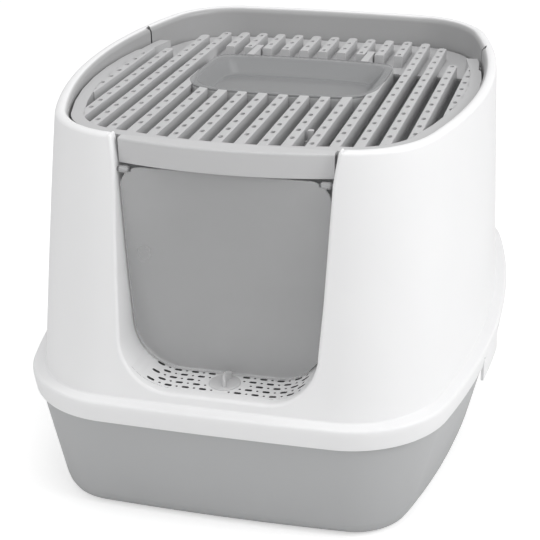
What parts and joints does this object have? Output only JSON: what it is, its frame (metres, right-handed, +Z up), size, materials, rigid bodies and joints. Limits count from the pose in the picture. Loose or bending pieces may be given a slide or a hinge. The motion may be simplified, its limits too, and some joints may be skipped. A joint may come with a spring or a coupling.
{
  "type": "top entry litter box",
  "caption": "Enclosed litter tray: deep tray, leaning cover with a front doorway and swinging flap, perforated sill, and a ribbed lift-up lid with a see-through hatch.",
  "frame": {"origin": "on the floor under the middle of the flange outline", "axes": "+Z up, front doorway towards -Y, +X to the viewer's right when facing the doorway"},
  "size_m": [0.4096, 0.5102, 0.3398],
  "materials": {
    "tray_grey": "satin",
    "cover_white": "satin",
    "knob_grey": "satin",
    "flap_smoke": "clear smoke",
    "hatch_smoke": "clear smoke",
    "rib_grey": "satin",
    "lid_grey": "satin",
    "pin_grey": "satin"
  },
  "bodies": {
    "tray": {"base_tray": "tray_grey"},
    "cover": {"cover_shell": "cover_white", "sill_tread": "cover_white", "flap_pin_left": "pin_grey", "flap_pin_right": "pin_grey", "latch_pin_left": "pin_grey", "latch_pin_right": "pin_grey"},
    "knob": {"sill_knob": "knob_grey", "sill_cam": "knob_grey"},
    "flap": {"front_flap": "flap_smoke"},
    "lid": {"lid_frame": "lid_grey", "lid_fascia": "lid_grey", "lid_ribs_left": "rib_grey", "lid_ribs_right": "rib_grey", "lid_ribs_front": "rib_grey", "lid_ribs_rear": "rib_grey", "lid_pivot_left": "pin_grey", "lid_pivot_right": "pin_grey", "hatch_collar": "lid_grey", "hatch_pin_left": "pin_grey", "hatch_pin_right": "pin_grey", "lid_peg": "pin_grey"},
    "hatch": {"hatch_dish": "hatch_smoke"},
    "latch_left": {"side_latch_left": "cover_white"},
    "latch_right": {"side_latch_right": "cover_white"}
  },
  "joints": [
    {"name": "cover_lift", "type": "slide", "parent": "tray", "child": "cover", "axis": [0, 0, 1], "range_m": [0, 0.15]},
    {"name": "knob_turn", "type": "hinge", "parent": "cover", "child": "knob", "pos_m": [0, -0.214, 0.119], "axis": [0, 0, 1], "range_deg": [0, 90]},
    {"name": "flap_swing", "type": "hinge", "parent": "cover", "child": "flap", "pos_m": [0, -0.2, 0.296], "axis": [1, 0, 0], "range_deg": [0, 80]},
    {"name": "lid_open", "type": "hinge", "parent": "cover", "child": "lid", "pos_m": [0, 0.093, 0.3132], "axis": [-1, 0, 0], "range_deg": [0, 60]},
    {"name": "hatch_open", "type": "hinge", "parent": "lid", "child": "hatch", "pos_m": [0, 0.108, 0.314], "axis": [-1, 0, 0], "range_deg": [0, 85]},
    {"name": "latch_left_open", "type": "hinge", "parent": "cover", "child": "latch_left", "pos_m": [-0.20002, -0.05278, 0.103], "axis": [-0.0673, 0.9977, 0], "range_deg": [0, 60]},
    {"name": "latch_right_open", "type": "hinge", "parent": "cover", "child": "latch_right", "pos_m": [0.20002, -0.05278, 0.103], "axis": [-0.0673, -0.9977, 0], "range_deg": [0, 60]}
  ]
}
